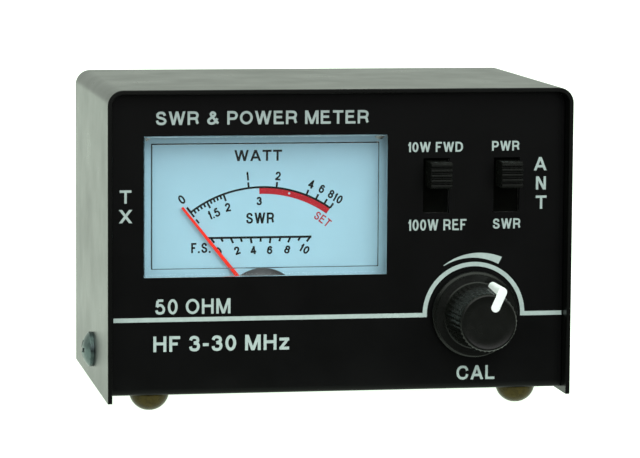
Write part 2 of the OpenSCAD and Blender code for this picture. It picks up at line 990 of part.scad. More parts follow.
// Places of a switch's six pins
module at_pins() {
    for (x = [range_x, function_x], s = [-1, 1], k = [-1, 0, 1])
        translate([x + s * 2.8, 0, slot_z + k * 5])
            children();
}

module switch_bases() {
    color("#5a3a22")
        difference() {
            for (x = [range_x, function_x])
                along_y(base_y, board_y - base_y)
                    translate([x, slot_z])
                        square([switch_w, switch_h], center = true);
            at_pins()
                rod_y(0, 0, base_y - 1, 4, 1.2);
        }
}

module switch_pins() {
    color("#d8dadc")
        at_pins() {
            rod_y(0, 0, base_y, board_y + board_t + 1.4 - base_y, 1.2);
            rod_y(0, 0, base_y - 0.25, 0.25, 2.6);
        }
}

module switch_board() {
    color("#8a6a35")
        difference() {
            box([post_x[0] - 3, board_y, post_z[0] - 3],
                [post_x[1] + 3, board_y + board_t, post_z[1] + 3]);
            at_pins()
                rod_y(0, 0, board_y - 1, 4, 1.2);
            for (x = post_x, z = post_z)
                rod_y(x, z, board_y - 1, 4, 2.7);
        }
}

module board_posts() {
    color("#b9bdc0")
        for (x = post_x, z = post_z)
            difference() {
                rod_y(x, z, panel_in, switch_deep, 4);
                rod_y(x, z, board_y - 5, 6, 2.5);
            }
}

module board_screws() {
    color("silver")
        for (x = post_x, z = post_z)
            translate([x, board_y + board_t, z])
                rotate([-90, 0, 0])
                    pan_screw(4.6, 1.6, 2.5, 6);
}

// ---- UHF sockets ----

module socket_shell(x) {
    rim_y = rear_y + socket_reach;
    color("#c9ccce")
        difference() {
            union() {
                along_y(rear_y, flange_t_uhf)
                    translate([x, socket_z])
                        round_rect(flange_w, flange_w, 1);
                rod_y(x, socket_z, rear_y, socket_reach, thread_d);
            }
            rod_y(x, socket_z, rear_y - 1, socket_reach + 2, mouth_d);
            for (dx = [-1, 1], dz = [-1, 1])
                rod_y(x + dx * flange_pitch / 2, socket_z + dz * flange_pitch / 2, rear_y - 1, 4,
                    m3_d + 0.2);
            for (a = [0, 90])
                translate([x, rim_y, socket_z])
                    rotate([0, a + 45, 0])
                        cube([thread_d + 2, 1.6, 1.6], center = true);
        }
}

module tx_socket_shell() {
    socket_shell(-socket_x);
}

module ant_socket_shell() {
    socket_shell(socket_x);
}

module socket_insulators() {
    front = rear_y + socket_reach - mouth_depth;
    color("#eceae0")
        for (x = [-socket_x, socket_x])
            difference() {
                union() {
                    rod_y(x, socket_z, rear_in - 1.5, sheet + 1.5, 10);
                    rod_y(x, socket_z, rear_y, front - rear_y + 1.5, mouth_d);
                }
                rod_y(x, socket_z, rear_in - 3, 30, tail_d);
                rod_y(x, socket_z, rear_y, 30, 5.6);
            }
}

module centre_contact(x) {
    rim_y = rear_y + socket_reach;
    color("#d8b55a")
        difference() {
            union() {
                rod_y(x, socket_z, rear_y, socket_reach - 1.5, 5.6);
                rod_y(x, socket_z, coupler_y - 1.2, rear_y - coupler_y + 1.2, tail_d);
            }
            rod_y(x, socket_z, rear_y + 2, 30, contact_bore_d);
            for (a = [45, 135])
                translate([x, rim_y, socket_z])
                    rotate([0, a, 0])
                        cube([8, 11, 0.6], center = true);
        }
}

module tx_contact() {
    centre_contact(-socket_x);
}

module ant_contact() {
    centre_contact(socket_x);
}

// ---- Directional coupler ----

module coupler_board() {
    color("#8a6a35")
        difference() {
            box([-socket_x - 8, coupler_y, socket_z - 13.5],
                [socket_x + 8, coupler_rear, socket_z + 13.5]);
            for (s = [-1, 1])
                rod_y(s * socket_x, socket_z, coupler_y - 1, 4, tail_d);
        }
}

module line_strips() {
    color("#b87333") {
        difference() {
            box([-socket_x - 3, coupler_rear, socket_z - 2],
                [socket_x + 3, coupler_rear + 0.3, socket_z + 2]);
            for (s = [-1, 1])
                rod_y(s * socket_x, socket_z, coupler_y - 1, 4, tail_d);
        }
        for (s = [-1, 1])
            box([-20, coupler_rear, socket_z + s * 5 - 0.6],
                [20, coupler_rear + 0.3, socket_z + s * 5 + 0.6]);
    }
}

// Part with a lead at each end, lying on the coupler board
module axial_part(x, z, d, len) {
    y = coupler_y - 1.9;
    half = len / 2 + 2.5;
    bent_wire([[x - half, coupler_y, z], [x - half, y, z], [x + half, y, z],
        [x + half, coupler_y, z]], lead_d, 0.9);
    translate([x - len / 2, y, z])
        rotate([0, 90, 0])
            cylinder(d = d, h = len);
}

module diodes() {
    color("#c77a3a")
        for (s = [-1, 1])
            axial_part(s * 10, socket_z + 10.5, 2.6, 7);
}

module resistors() {
    color("#c9b48a")
        for (s = [-1, 1])
            axial_part(s * 10, socket_z + 5.5, 2.4, 6.5);
}

module capacitors() {
    color("#c98a3c")
        for (x = [-4, 4, -22.5, 22.5], z = [socket_z - 6]) {
            translate([x - 1.2, coupler_y - 4.4, z])
                rotate([0, 90, 0])
                    cylinder(d = 6, h = 2.4);
            for (s = [-1, 1])
                rod_y(x, z + s * 1.8, coupler_y - 3, 3, lead_d);
        }
}

module trimmer_bases() {
    color("#2f6fae")
        for (s = [-1, 1])
            difference() {
                box([s * trimmer_x - 5, coupler_y - trimmer_t, trimmer_z - 5],
                    [s * trimmer_x + 5, coupler_y, trimmer_z + 5]);
                rod_y(s * trimmer_x, trimmer_z, coupler_y - trimmer_t - 1, 2.6, 7.3);
                rod_y(s * trimmer_x, trimmer_z, coupler_y - trimmer_t, 3, 2 + run_fit);
            }
}

module trimmer_rotor(x) {
    front = coupler_y - trimmer_t - 0.3;
    color("#e6e2d6")
        difference() {
            union() {
                rod_y(x, trimmer_z, front, 1.7, 7);
                rod_y(x, trimmer_z, front + 1.7, 1.2, 2);
            }
            box([x - 2.4, front - 1, trimmer_z - 0.4], [x + 2.4, front + 0.8, trimmer_z + 0.4]);
        }
}

module forward_trimmer() {
    trimmer_rotor(-trimmer_x);
}

module reflected_trimmer() {
    trimmer_rotor(trimmer_x);
}

// Insulated wires, each from one solder joint to another
module wires() {
    board_back = board_y + board_t;
    pot_back = wafer_y + wafer_t + 0.4;
    pot_low = knob_z - 13.5;
    stud_lug = stud_z - 8;
    flange_lug_x = socket_x - flange_pitch / 2;
    flange_lug_y = rear_in - m3_nut_h - 0.8;
    flange_lug_z = socket_z - flange_pitch / 2 - 6;
    lane = coupler_y - 9;
    near_lane = housing_rear + 6;
    routes = [
        [[0, coupler_y, socket_z + 10.5], [0, lane, socket_z + 10.5], [0, lane, slot_z + 12],
            [range_x + 5, lane, slot_z + 12], [range_x + 5, board_back, slot_z + 12]],
        [[0, coupler_y, socket_z - 11], [0, lane, socket_z - 11], [0, lane, slot_z - 13],
            [range_x - 1, lane, slot_z - 13], [range_x - 1, board_back, slot_z - 13]],
        [[knob_x, pot_back, pot_low], [knob_x, near_lane, pot_low],
            [knob_x, near_lane, stud_lug], [window_x + stud_x, near_lane, stud_lug],
            [window_x + stud_x, housing_rear + 0.8, stud_lug]],
        [[knob_x - 5, pot_back, pot_low], [knob_x - 5, board_y + 9, pot_low],
            [knob_x - 5, board_y + 9, slot_z - 9.5], [knob_x - 5, board_back, slot_z - 9.5]],
        [[knob_x + 5, pot_back, pot_low], [knob_x + 5, lane, pot_low],
            [flange_lug_x, lane, pot_low], [flange_lug_x, lane, flange_lug_z],
            [flange_lug_x, flange_lug_y, flange_lug_z]],
        [[window_x - stud_x, housing_rear + 0.8, stud_lug], [window_x - stud_x, lane, stud_lug],
            [window_x - stud_x, lane, flange_lug_z], [-flange_lug_x, lane, flange_lug_z],
            [-flange_lug_x, flange_lug_y, flange_lug_z]]
    ];
    color("#b3262a")
        for (route = routes)
            bent_wire(route, wire_d, wire_bend);
}

cover();
chassis();
cover_screws();
feet();
m3_screws();
m3_nuts();
meter_window();
meter_housing();
dial_plate();
dial_screws();
pointer();
balance_weight();
moving_coil();
arbor();
hairsprings();
core_magnet();
core_spacers();
yoke_ring();
bridge_posts();
movement_bridges();
jewel_screws();
zero_regulator();
meter_studs();
meter_bracket();
solder_lugs();
knob();
knob_pointer();
pot_shaft();
pot_bushing();
pot_case();
pot_wafer();
pot_wiper();
pot_terminals();
pot_nut();
pot_washer();
range_frame();
range_slider();
range_contacts();
function_frame();
function_slider();
function_contacts();
switch_bases();
switch_pins();
switch_board();
board_posts();
board_screws();
tx_socket_shell();
ant_socket_shell();
socket_insulators();
tx_contact();
ant_contact();
coupler_board();
line_strips();
diodes();
resistors();
capacitors();
trimmer_bases();
forward_trimmer();
reflected_trimmer();
wires();
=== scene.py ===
import json
import math

import bmesh
import bpy
from mathutils import Matrix, Vector
from mathutils.geometry import delaunay_2d_cdt, intersect_point_tri_2d

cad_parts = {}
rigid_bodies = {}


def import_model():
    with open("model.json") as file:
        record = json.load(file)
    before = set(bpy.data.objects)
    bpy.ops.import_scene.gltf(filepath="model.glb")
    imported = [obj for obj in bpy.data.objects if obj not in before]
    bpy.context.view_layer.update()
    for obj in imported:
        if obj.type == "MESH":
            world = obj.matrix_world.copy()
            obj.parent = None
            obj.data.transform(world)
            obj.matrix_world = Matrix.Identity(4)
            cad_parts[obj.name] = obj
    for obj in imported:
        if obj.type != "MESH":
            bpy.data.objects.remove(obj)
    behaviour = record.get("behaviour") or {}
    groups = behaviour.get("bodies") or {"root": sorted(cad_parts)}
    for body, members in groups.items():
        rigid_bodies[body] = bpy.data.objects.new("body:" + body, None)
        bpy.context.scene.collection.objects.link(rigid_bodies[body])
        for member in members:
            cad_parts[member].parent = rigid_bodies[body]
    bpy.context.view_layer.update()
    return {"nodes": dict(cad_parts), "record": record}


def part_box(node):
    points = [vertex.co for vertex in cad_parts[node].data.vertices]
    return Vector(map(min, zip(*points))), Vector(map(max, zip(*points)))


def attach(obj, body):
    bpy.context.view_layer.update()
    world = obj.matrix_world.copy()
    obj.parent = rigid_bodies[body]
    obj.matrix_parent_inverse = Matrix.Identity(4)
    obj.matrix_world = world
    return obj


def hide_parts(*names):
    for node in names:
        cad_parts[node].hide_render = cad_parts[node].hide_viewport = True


MM = 0.001

for default in list(bpy.data.objects):
    bpy.data.objects.remove(default)
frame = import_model()
scene = bpy.context.scene


# ---- Places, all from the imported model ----

def low(node):
    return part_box(node)[0] / MM


def high(node):
    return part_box(node)[1] / MM


def middle(node):
    return (low(node) + high(node)) / 2


PANEL_Y = low("chassis").y
WINDOW = middle("meter_window")
DIAL_Y = low("dial_plate").y
FUNCTION_X = middle("function_slider").x
RANGE_X = middle("range_slider").x
KNOB = middle("knob")
JOINTS = {joint["name"]: joint for joint in frame["record"]["behaviour"]["joints"]}
PIVOT = Vector(JOINTS["pointer_swing"]["pos_m"]) / MM


# ---- Camera, at the photograph's angle ----

LENS_MM, SENSOR_MM = 190.9, 36
AZIMUTH, ELEVATION, ROLL = (math.radians(degrees) for degrees in (10.165, 6.577, 0.37))
AIM = Vector((0.97, 0, 37.3))
DISTANCE = 788.6


def aim_camera():
    data = bpy.data.cameras.new("camera")
    data.lens = LENS_MM
    data.sensor_width = SENSOR_MM
    data.clip_start = 0.01
    data.clip_end = 20
    camera = bpy.data.objects.new("camera", data)
    scene.collection.objects.link(camera)
    back = Vector((-math.sin(AZIMUTH) * math.cos(ELEVATION),
                   -math.cos(AZIMUTH) * math.cos(ELEVATION), math.sin(ELEVATION)))
    right = Vector((math.cos(AZIMUTH), -math.sin(AZIMUTH), 0))
    up = back.cross(right)
    tilted = right * math.cos(ROLL) + up * math.sin(ROLL)
    axes = Matrix((tilted, back.cross(tilted), back)).transposed()
    place = Matrix.Translation(AIM * MM + back * DISTANCE * MM)
    camera.matrix_world = place @ axes.to_4x4()
    scene.camera = camera


aim_camera()
scene.view_settings.view_transform = "Standard"


# ---- Materials ----

NOISE_SPAN = (0.3, 0.7)


def node_of(tree, kind, **values):
    """A new node, with its inputs set by name."""
    node = tree.nodes.new(kind)
    for key, value in values.items():
        node.inputs[key.replace("_", " ")].default_value = value
    return node


def shaded(colour, share):
    """The colour lightened or darkened by a share, with full opacity."""
    return (*[max(0.0, min(1.0, c * share)) for c in colour], 1)


def surface(name, colour, rough, metal=0.0, patch=0.08, patch_mm=7.0, rough_by=0.04,
            grain=0.002, grain_mm=0.35, stretch=(1, 1, 1), **sockets):
    """A painted, moulded or plated surface: patches of colour and gloss, and a grain in relief."""
    material = bpy.data.materials.new(name)
    material.use_nodes = True
    tree = material.node_tree
    shader = tree.nodes["Principled BSDF"]
    place = tree.nodes.new("ShaderNodeTexCoord")
    mapping = tree.nodes.new("ShaderNodeMapping")
    mapping.inputs["Scale"].default_value = stretch
    tree.links.new(place.outputs["Object"], mapping.inputs["Vector"])
    patches = node_of(tree, "ShaderNodeTexNoise", Scale=1 / (patch_mm * MM), Detail=4.0,
                      Roughness=0.6)
    tree.links.new(mapping.outputs["Vector"], patches.inputs["Vector"])
    ramp = tree.nodes.new("ShaderNodeValToRGB")
    for stop, at, share in zip(ramp.color_ramp.elements, NOISE_SPAN, (1 - patch, 1 + patch)):
        stop.position = at
        stop.color = shaded(colour, share)
    tree.links.new(patches.outputs["Fac"], ramp.inputs["Fac"])
    tree.links.new(ramp.outputs["Color"], shader.inputs["Base Color"])
    gloss = node_of(tree, "ShaderNodeMapRange", From_Min=NOISE_SPAN[0], From_Max=NOISE_SPAN[1],
                    To_Min=max(0.02, rough - rough_by), To_Max=rough + rough_by)
    tree.links.new(patches.outputs["Fac"], gloss.inputs["Value"])
    tree.links.new(gloss.outputs["Result"], shader.inputs["Roughness"])
    fine = node_of(tree, "ShaderNodeTexNoise", Scale=1 / (grain_mm * MM), Detail=3.0,
                   Roughness=0.55)
    tree.links.new(mapping.outputs["Vector"], fine.inputs["Vector"])
    relief = node_of(tree, "ShaderNodeBump", Strength=1.0, Distance=grain * MM)
    tree.links.new(fine.outputs["Fac"], relief.inputs["Height"])
    tree.links.new(relief.outputs["Normal"], shader.inputs["Normal"])
    shader.inputs["Metallic"].default_value = metal
    for key, value in sockets.items():
        shader.inputs[key.replace("_", " ")].default_value = value
    return material


def clear_acrylic():
    """Acrylic that lets lamps through, so that what is behind it is lit."""
    material = surface("clear_acrylic", (0.96, 0.985, 0.99), 0.03, patch=0.01, rough_by=0.015,
                       grain=0.0004, grain_mm=3.0, Transmission_Weight=1.0, IOR=1.49,
                       Specular_IOR_Level=0.08)
    tree = material.node_tree
    shader = tree.nodes["Principled BSDF"]
    path = tree.nodes.new("ShaderNodeLightPath")
    through = tree.nodes.new("ShaderNodeBsdfTransparent")
    through.inputs["Color"].default_value = (0.95, 0.98, 0.99, 1)
    mix = tree.nodes.new("ShaderNodeMixShader")
    tree.links.new(path.outputs["Is Shadow Ray"], mix.inputs[0])
    tree.links.new(shader.outputs[0], mix.inputs[1])
    tree.links.new(through.outputs[0], mix.inputs[2])
    tree.links.new(mix.outputs[0], tree.nodes["Material Output"].inputs["Surface"])
    return material


PAINT = {
    "cover_paint": surface("satin_black_cover", (0.0016, 0.0018, 0.0016), 0.30, patch=0.1,
                           patch_mm=14, rough_by=0.03, grain=0.0006, grain_mm=0.45,
                           IOR=1.42, Specular_IOR_Level=0.15),
    "panel_paint": surface("satin_black_panel", (0.0018, 0.0019, 0.002), 0.40, patch=0.15,
                           patch_mm=11, rough_by=0.05, grain=0.0012, grain_mm=0.4,
                           Specular_IOR_Level=0.07),
    "black_screw": surface("black_oxide", (0.085, 0.115, 0.115), 0.34, metal=1.0, patch=0.25,
                           patch_mm=1.6, grain=0.002, grain_mm=0.2),
    "bright_screw": surface("zinc_plate", (0.66, 0.66, 0.62), 0.28, metal=1.0, patch=0.12,
                            patch_mm=1.5, grain=0.002, grain_mm=0.2),
    "foot_rubber": surface("amber_rubber", (0.034, 0.025, 0.0022), 0.28, patch=0.3, patch_mm=1.4,
                           grain=0.003, grain_mm=0.3, Specular_IOR_Level=0.12),
    "clear_plastic": clear_acrylic(),
    "black_plastic": surface("black_moulding", (0.0028, 0.003, 0.0032), 0.42, patch=0.2,
                             grain=0.004, Specular_IOR_Level=0.3),
    "dial_print": surface("dial_face", (0.395, 0.625, 0.755), 0.6, patch=0.015, patch_mm=5,
                          grain=0.0008, grain_mm=0.2, Specular_IOR_Level=0.1),
    "pointer_red": surface("red_enamel", (0.98, 0.02, 0.005), 0.4, patch=0.05, patch_mm=2,
                           grain=0.001, Specular_IOR_Level=0.1),
    "brass": surface("turned_brass", (0.72, 0.52, 0.22), 0.3, metal=1.0, patch=0.12, patch_mm=2),
    "copper": surface("enamelled_copper", (0.62, 0.26, 0.12), 0.32, metal=1.0, patch=0.15,
                      patch_mm=0.6, stretch=(1, 1, 5)),
    "magnet": surface("ground_magnet", (0.22, 0.23, 0.24), 0.42, metal=1.0, patch=0.15,
                      stretch=(1, 6, 1)),
    "plated_steel": surface("plated_steel", (0.60, 0.61, 0.61), 0.33, metal=1.0, patch=0.1,
                            patch_mm=4, stretch=(1, 1, 4)),
    "knob_plastic": surface("satin_phenolic", (0.0032, 0.0036, 0.003), 0.26, patch=0.2, patch_mm=3,
                            grain=0.0015, grain_mm=0.25, Specular_IOR_Level=0.2),
    "inlay_white": surface("white_inlay", (0.88, 0.92, 0.93), 0.45, patch=0.03, patch_mm=1.5,
                           grain=0.002),
    "nickel": surface("nickel_plate", (0.62, 0.60, 0.55), 0.2, metal=1.0, patch=0.08, patch_mm=3,
                      grain=0.0015, grain_mm=0.3),
    "gold_contact": surface("gold_flash", (0.80, 0.58, 0.24), 0.22, metal=1.0, patch=0.08,
                            patch_mm=1.5),
    "phenolic": surface("phenolic_board", (0.24, 0.11, 0.035), 0.45, patch=0.22, patch_mm=1.2,
                        stretch=(1, 1, 6)),
    "ptfe": surface("white_ptfe", (0.80, 0.79, 0.74), 0.5, patch=0.03, patch_mm=2,
                    Subsurface_Weight=0.2, Subsurface_Scale=0.001),
    "component": surface("lacquered_part", (0.50, 0.24, 0.08), 0.35, patch=0.15, patch_mm=1),
    "trimmer_plastic": surface("blue_moulding", (0.02, 0.10, 0.34), 0.38, patch=0.1, patch_mm=2),
    "rotor_plastic": surface("ivory_moulding", (0.74, 0.70, 0.58), 0.4, patch=0.05, patch_mm=1.5),
    "wire_insulation": surface("red_pvc", (0.38, 0.02, 0.02), 0.4, patch=0.1, patch_mm=2),
}
PANEL_INK = surface("panel_ink", (0.40, 0.49, 0.48), 0.55, patch=0.08, patch_mm=1.2, grain=0.002,
                    grain_mm=0.15)
BLACK_INK = surface("black_ink", (0.0012, 0.0022, 0.0035), 0.6, patch=0.25, patch_mm=0.7,
                    grain=0.001, grain_mm=0.12, Specular_IOR_Level=0.05)
RED_INK = surface("red_ink", (0.46, 0.009, 0.02), 0.6, patch=0.14, patch_mm=0.9, grain=0.001,
                  grain_mm=0.12, Specular_IOR_Level=0.05)

SLOT_OF = {part["node"]: part["material_slot"] for part in frame["record"]["subparts"]}
BODY_OF = {node: body for body, nodes in frame["record"]["behaviour"]["bodies"].items()
           for node in nodes}
for node, packed in frame["nodes"].items():
    packed.data.materials.clear()
    packed.data.materials.append(PAINT[SLOT_OF[node]])


# ---- Mesh tools ----

CORNER = 35


def mesh_from(work, name, corner=CORNER):
    """The finished mesh, smooth but for edges sharper than the corner angle in degrees."""
    mesh = bpy.data.meshes.new(name)
    bmesh.ops.recalc_face_normals(work, faces=work.faces)
    work.to_mesh(mesh)
    work.free()
    for face in mesh.polygons:
        face.use_smooth = True
    mesh.set_sharp_from_angle(angle=math.radians(corner))
    return mesh


def add_piece(name, mesh, material, body, stands_for=()):
    """A piece that rides on a body, and takes the place of the nodes it stands for."""
    mesh.materials.clear()
    mesh.materials.append(material)
    piece = bpy.data.objects.new(name, mesh)
    scene.collection.objects.link(piece)
    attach(piece, body)
    if stands_for:
        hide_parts(*stands_for)
    return piece


def break_edges(piece, width, segments=2, corner=CORNER):
    """Takes the sharpness off the edges, as it is on a made part."""
    broken = piece.modifiers.new("broken_edges", "BEVEL")
    broken.width = width * MM
    broken.segments = segments
    broken.limit_method = "ANGLE"
    broken.angle_limit = math.radians(corner)
    broken.harden_normals = True


def finished_copy(node, bevel, segments=2):
    """The CAD shape with its flat faces joined and its edges broken."""
    work = bmesh.new()
    work.from_mesh(frame["nodes"][node].data)
    bmesh.ops.remove_doubles(work, verts=work.verts, dist=0.002 * MM)
    bmesh.ops.dissolve_limit(work, angle_limit=math.radians(0.5), verts=work.verts,
                             edges=work.edges)
    name, slot = node + "_finished", SLOT_OF[node]
    piece = add_piece(name, mesh_from(work, name), PAINT[slot], BODY_OF[node], [node])
    break_edges(piece, bevel, segments)
    return piece


def lathe(work, profile, centre, steps, reach=None, axis="-Y"):
    """Turns (radius, distance) points about a centre line.

    reach(angle, radius, distance) may give another radius there.
    """
    rings = []
    for radius, along in profile:
        if radius == 0:
            rings.append([work.verts.new(place_on(centre, 0, 0, along, axis))])
            continue
        ring = []
        for i in range(steps):
            a = 2 * math.pi * i / steps
            r = reach(a, radius, along) if reach else radius
            place = place_on(centre, r * math.sin(a), r * math.cos(a), along, axis)
            ring.append(work.verts.new(place))
        rings.append(ring)
    for first, second in zip(rings, rings[1:]):
        for i in range(steps):
            j = (i + 1) % steps
            if len(first) == 1:
                work.faces.new((first[0], second[i], second[j]))
            elif len(second) == 1:
                work.faces.new((first[i], second[0], first[j]))
            else:
                work.faces.new((first[i], second[i], second[j], first[j]))


def place_on(centre, across, up, along, axis):
    """A point in metres: across and up from the centre line, and along it."""
    if axis == "-Y":
        return (centre.x + across) * MM, (centre.y - along) * MM, (centre.z + up) * MM
    if axis == "+Y":
        return (centre.x - across) * MM, (centre.y + along) * MM, (centre.z + up) * MM
    return (centre.x + across) * MM, (centre.y + up) * MM, (centre.z + along) * MM


# ---- Print: flat outlines in millimetres, joined into one thin solid at the end ----

CURVE_STEPS = 6
OVAL_POINTS = 14
WORD_SPACE = 0.46
INK_SUNK = 0.01


def polar(centre, radius, degrees):
    """A point at a radius from a centre, at an angle clockwise from straight up."""
    a = math.radians(degrees)
    return Vector((centre.x + radius * math.sin(a), centre.z + radius * math.cos(a)))


def bar(start, end, width):
    """A straight stroke with square ends."""
    start, end = Vector(start), Vector(end)
    side = (end - start).normalized() * width / 2
    side = Vector((-side.y, side.x))
    return [[start - side, end - side, end + side, start + side]]


def band(centre, start, end, inner, outer, steps=48):
    """A band between two radii, each a number or a (start, end) pair."""
    inner = inner if isinstance(inner, tuple) else (inner, inner)
    outer = outer if isinstance(outer, tuple) else (outer, outer)
    rows = []
    for i in range(steps + 1):
        t = i / steps
        rows.append([polar(centre, pair[0] + (pair[1] - pair[0]) * t, start + (end - start) * t)
                     for pair in (inner, outer)])
    return [[a, b, d, c] for (a, b), (c, d) in zip(rows, rows[1:])]


def ribbon(points, width, closed=False):
    """A smooth stroke through points, as a run of four-sided outlines."""
    count = len(points)
    spine = []
    for i in range(count if closed else count - 1):
        if closed:
            p0, p1, p2, p3 = (points[(i + k) % count] for k in (-1, 0, 1, 2))
        else:
            p0, p1, p2, p3 = (points[min(max(i + k, 0), count - 1)] for k in (-1, 0, 1, 2))
        for step in range(CURVE_STEPS):
            t = step / CURVE_STEPS
            spine.append(0.5 * ((2 * p1) + (p2 - p0) * t + (2 * p0 - 5 * p1 + 4 * p2 - p3) * t * t
                                + (3 * p1 - p0 - 3 * p2 + p3) * t ** 3))
    if not closed:
        spine.append(points[-1])
    edges = []
    for i, point in enumerate(spine):
        if closed:
            along = spine[(i + 1) % len(spine)] - spine[i - 1]
        else:
            along = spine[min(i + 1, len(spine) - 1)] - spine[max(i - 1, 0)]
        side = Vector((-along.y, along.x)).normalized() * width / 2
        edges.append((point - side, point + side))
    ends = edges[1:] + edges[:1] if closed else edges[1:]
    return [[a, c, d, b] for (a, b), (c, d) in zip(edges, ends)]


# Each letter: its width as a share of its height, then its strokes in a box from 0 to 1.
# d has level ends, h has upright ends, l has square ends, c is a smooth curve, o is an oval.
LETTERS = {
    "A": (0.74, "d 0 0 .5 1", "d 1 0 .5 1", "h .14 .27 .86 .27"),
    "C": (0.70, "c 1 .66 .88 .90 .52 1 .15 .87 0 .5 .15 .13 .52 0 .88 .10 1 .36"),
    "D": (0.68, "d 0 0 0 1", "c 0 1 .38 1 .72 .95 .94 .76 1 .5 .94 .24 .72 .05 .38 0 0 0"),
    "E": (0.60, "d 0 0 0 1", "h 0 0 1 0", "h 0 1 .97 1", "h 0 .53 .92 .53"),
    "F": (0.55, "d 0 0 0 1", "h 0 1 1 1", "h 0 .5 .88 .5"),
    "H": (0.66, "d 0 0 0 1", "d 1 0 1 1", "h 0 .53 1 .53"),
    "L": (0.54, "d 0 0 0 1", "h 0 0 1 0"),
    "M": (0.80, "d 0 0 0 1", "d 1 0 1 1", "d .04 1 .5 0", "d .96 1 .5 0"),
    "N": (0.66, "d 0 0 0 1", "d 1 0 1 1", "d .04 1 .96 0"),
    "O": (0.76, "o .5 .5 .5 .5"),
    "P": (0.62, "d 0 0 0 1", "c 0 1 .5 1 .84 .95 1 .72 .84 .47 .5 .42 0 .42"),
    "R": (0.68, "d 0 0 0 1", "c 0 1 .5 1 .82 .95 .95 .74 .82 .51 .5 .46 0 .46",
          "c .5 .46 .76 .42 .87 .3 .9 .14 1 0"),
    "S": (0.63, "c .93 .73 .82 .93 .48 1 .17 .93 .05 .74 .2 .58 .52 .51 .84 .42 1 .25 "
                ".86 .06 .5 0 .14 .07 0 .3"),
    "T": (0.62, "d .5 0 .5 1", "h 0 1 1 1"),
    "W": (0.98, "d 0 1 .25 0", "d .25 0 .5 1", "d .5 1 .75 0", "d .75 0 1 1"),
    "X": (0.68, "d 0 0 1 1", "d 0 1 1 0"),
    "z": (0.50, "h 0 .72 1 .72", "h 0 0 1 0", "l .02 .03 .98 .69"),
    "0": (0.55, "o .5 .5 .5 .5"),
    "1": (0.32, "d 1 0 1 1", "c .95 1 .75 .84 .45 .76 0 .73"),
    "2": (0.55, "c 0 .68 .1 .91 .48 1 .88 .9 .96 .68 .76 .44 .3 .2 .04 0", "h 0 0 1 0"),
    "3": (0.55, "c 0 .76 .14 .94 .48 1 .86 .9 .88 .66 .42 .54",
          "c .42 .54 .9 .46 1 .25 .84 .05 .46 0 .1 .07 0 .27"),
    "4": (0.58, "d .76 0 .76 1", "h 0 .25 1 .25", "l .03 .27 .7 .97"),
    "5": (0.56, "h .16 1 .92 1", "l .18 .98 .06 .5",
          "c .06 .5 .34 .63 .72 .6 1 .33 .86 .07 .46 0 .12 .06 0 .24"),
    "6": (0.56, "o .5 .31 .5 .31", "c .94 .78 .78 .95 .5 1 .16 .87 .02 .56 0 .31"),
    "8": (0.56, "o .5 .77 .43 .23", "o .5 .27 .5 .27"),
    "&": (0.74, "c 1 0 .64 .36 .33 .7 .27 .88 .46 1 .66 .88 .6 .7 .28 .5 .03 .28 .11 .06 "
                ".38 0 .66 .11 .9 .46"),
    "-": (0.30, "h 0 .4 1 .4"),
    ".": (0.10, "h -.5 0 1.5 0"),
}


def letter(name, left, base, wide, tall, stroke):
    """The outlines of one letter in a box, its outer edges on the box."""
    def inside(u, v):
        return Vector((left + stroke / 2 + u * (wide - stroke),
                       base + stroke / 2 + v * (tall - stroke)))

    made = []
    for text in LETTERS[name][1:]:
        kind, *values = text.split()
        values = [float(v) for v in values]
        points = [inside(u, v) for u, v in zip(values[::2], values[1::2])]
        if kind == "d":
            first, last = points
            half = Vector((stroke / 2 * (last - first).length / abs(last.y - first.y), 0))
            for point, v in zip(points, values[1::2]):
                if v in (0, 1):
                    point.y = base + tall * v
            made.append([first - half, last - half, last + half, first + half])
        elif kind == "h":
            grow = Vector((stroke / 2, 0))
            start = points[0] - grow * (values[0] == 0)
            end = points[1] + grow * (values[2] == 1)
            made += bar(start, end, stroke)
        elif kind == "l":
            made += bar(points[0], points[1], stroke)
        elif kind == "c":
            made += ribbon(points, stroke)
        else:
            u, v, ru, rv = values
            turns = (2 * math.pi * i / OVAL_POINTS for i in range(OVAL_POINTS))
            oval = [inside(u + ru * math.sin(a), v + rv * math.cos(a)) for a in turns]
            made += ribbon(oval, stroke, True)
    return made


def words(text, centre, width, height, stroke, turn=0, gap=0.13):
    """Words fitted to a width and a height about a centre, and turned clockwise."""
    shares = [WORD_SPACE if c == " " else LETTERS[c][0] for c in text]
    gaps = [0 if " " in pair else gap for pair in zip(text, text[1:])] + [0]
    scale = width / (sum(shares) + sum(gaps))
    made, x = [], -width / 2
    for c, share, after in zip(text, shares, gaps):
        if c != " ":
            made += letter(c, x, -height / 2, share * scale, height, stroke)
        x += (share + after) * scale
    a = math.radians(turn)
    return [[Vector((centre[0] + p.x * math.cos(a) + p.y * math.sin(a),
                     centre[1] - p.x * math.sin(a) + p.y * math.cos(a))) for p in outline]
            for outline in made]


def words_between(text, x, z, stroke, **kept):
    """Words fitted between two places across and two places up."""
    centre = ((x[0] + x[1]) / 2, (z[0] + z[1]) / 2)
    return words(text, centre, x[1] - x[0], z[1] - z[0], stroke, **kept)


